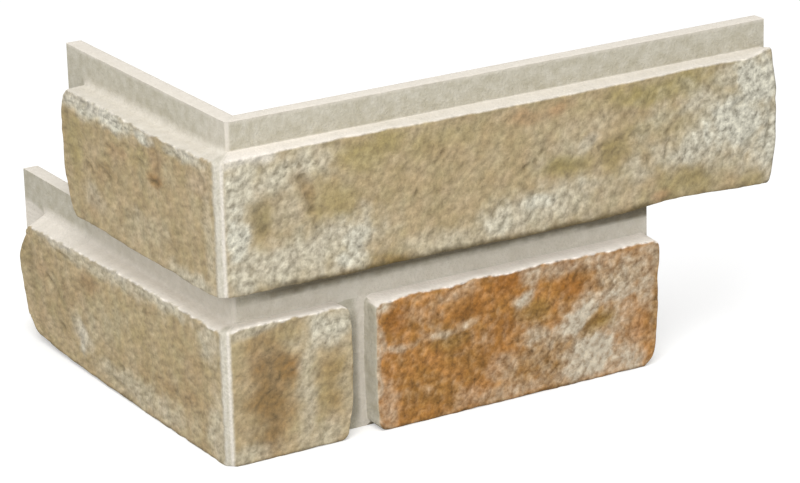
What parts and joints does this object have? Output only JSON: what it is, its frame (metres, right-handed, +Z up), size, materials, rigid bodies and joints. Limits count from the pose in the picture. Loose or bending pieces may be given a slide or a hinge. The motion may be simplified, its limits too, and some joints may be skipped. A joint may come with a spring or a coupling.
{
  "type": "corner brick slip",
  "caption": "One-piece cast corner panel of brick-look facing: L-shaped plate with raised brick faces and recessed joints, stepped ends that interlock with the next panel.",
  "frame": {"origin": "under the centre of the panel's box, on the level of its lower edge", "axes": "+X along the right (long) leg, whose brick face looks along -Y; +Y along the left leg, whose brick face looks along -X; +Z up through the courses"},
  "size_m": [0.24, 0.1806, 0.125],
  "materials": {
    "cast_stone": "matte, rough"
  },
  "bodies": {
    "root": {"corner_slip": "cast_stone"}
  },
  "joints": []
}
